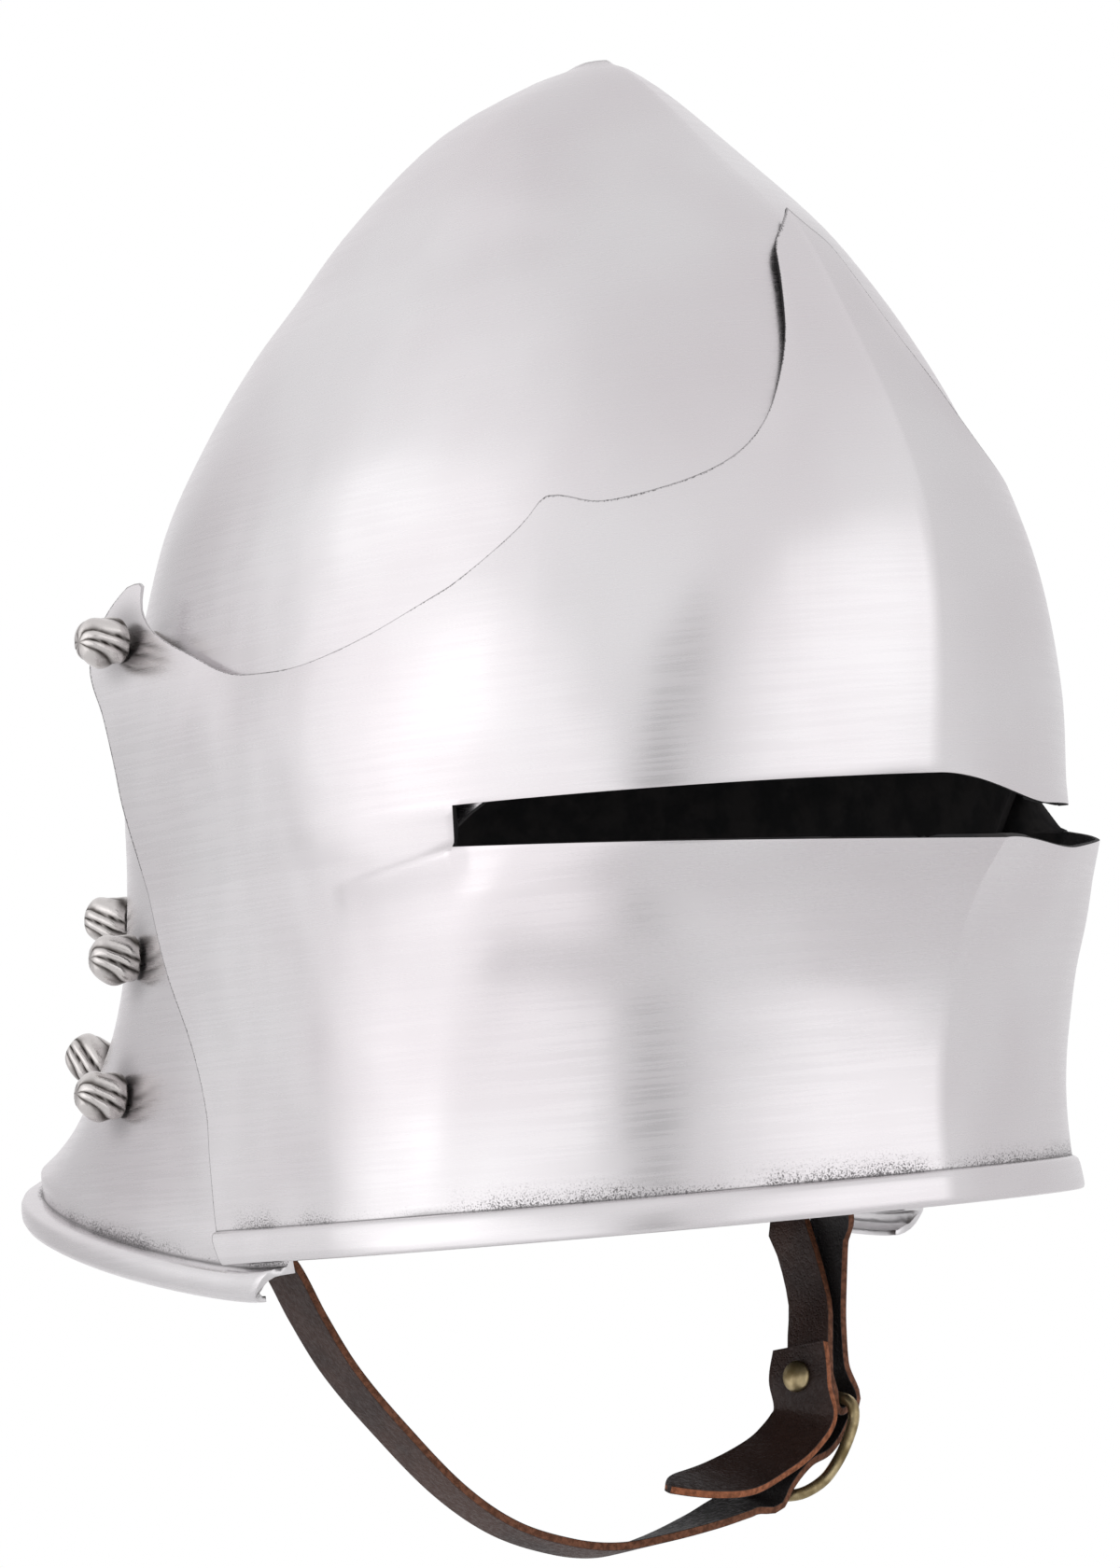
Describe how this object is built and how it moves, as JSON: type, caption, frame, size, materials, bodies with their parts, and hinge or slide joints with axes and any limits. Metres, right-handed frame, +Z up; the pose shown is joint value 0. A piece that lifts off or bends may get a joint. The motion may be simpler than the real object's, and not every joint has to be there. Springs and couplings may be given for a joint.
{
  "type": "sallet helmet with hinged visor and buckled chin strap",
  "caption": "Pointed steel helmet with a flared tail, a raised visor plate with a sight slot that hinges at the temples, and a buckled leather chin strap.",
  "frame": {"origin": "where the crown of the wearer's head sits inside the skull, on the middle plane, 46 mm below the outside of the apex", "axes": "+Z up, the visor's lower rim level; the wearer looks along -Y; +X is the wearer's left"},
  "size_m": [0.2286, 0.3644, 0.3914],
  "materials": {
    "satin_steel": "bright satin, hand polished",
    "antiqued_steel": "antiqued, dark in the flutes",
    "brown_leather": "dark brown, smooth, waxed",
    "aged_brass": "aged brass, dull"
  },
  "bodies": {
    "skull": {"skull": "satin_steel", "pivot_bolt_right": "antiqued_steel", "pivot_bolt_left": "antiqued_steel", "nape_rivet_1": "antiqued_steel", "nape_rivet_2": "antiqued_steel", "nape_rivet_3": "antiqued_steel", "nape_rivet_4": "antiqued_steel", "nape_rivet_5": "antiqued_steel", "nape_rivet_6": "antiqued_steel", "nape_rivet_7": "antiqued_steel", "nape_rivet_8": "antiqued_steel", "strap_rivet_right": "aged_brass", "strap_rivet_left": "aged_brass", "chin_strap_long": "brown_leather", "chin_strap_short": "brown_leather", "buckle_flap": "brown_leather", "buckle_frame": "aged_brass", "buckle_prong": "aged_brass", "flap_rivet": "aged_brass"},
    "visor": {"visor": "satin_steel"}
  },
  "joints": [
    {"name": "visor_pivot", "type": "hinge", "parent": "skull", "child": "visor", "pos_m": [0, 0.098, -0.093], "axis": [-1, 0, 0], "range_deg": [0, 62]}
  ]
}
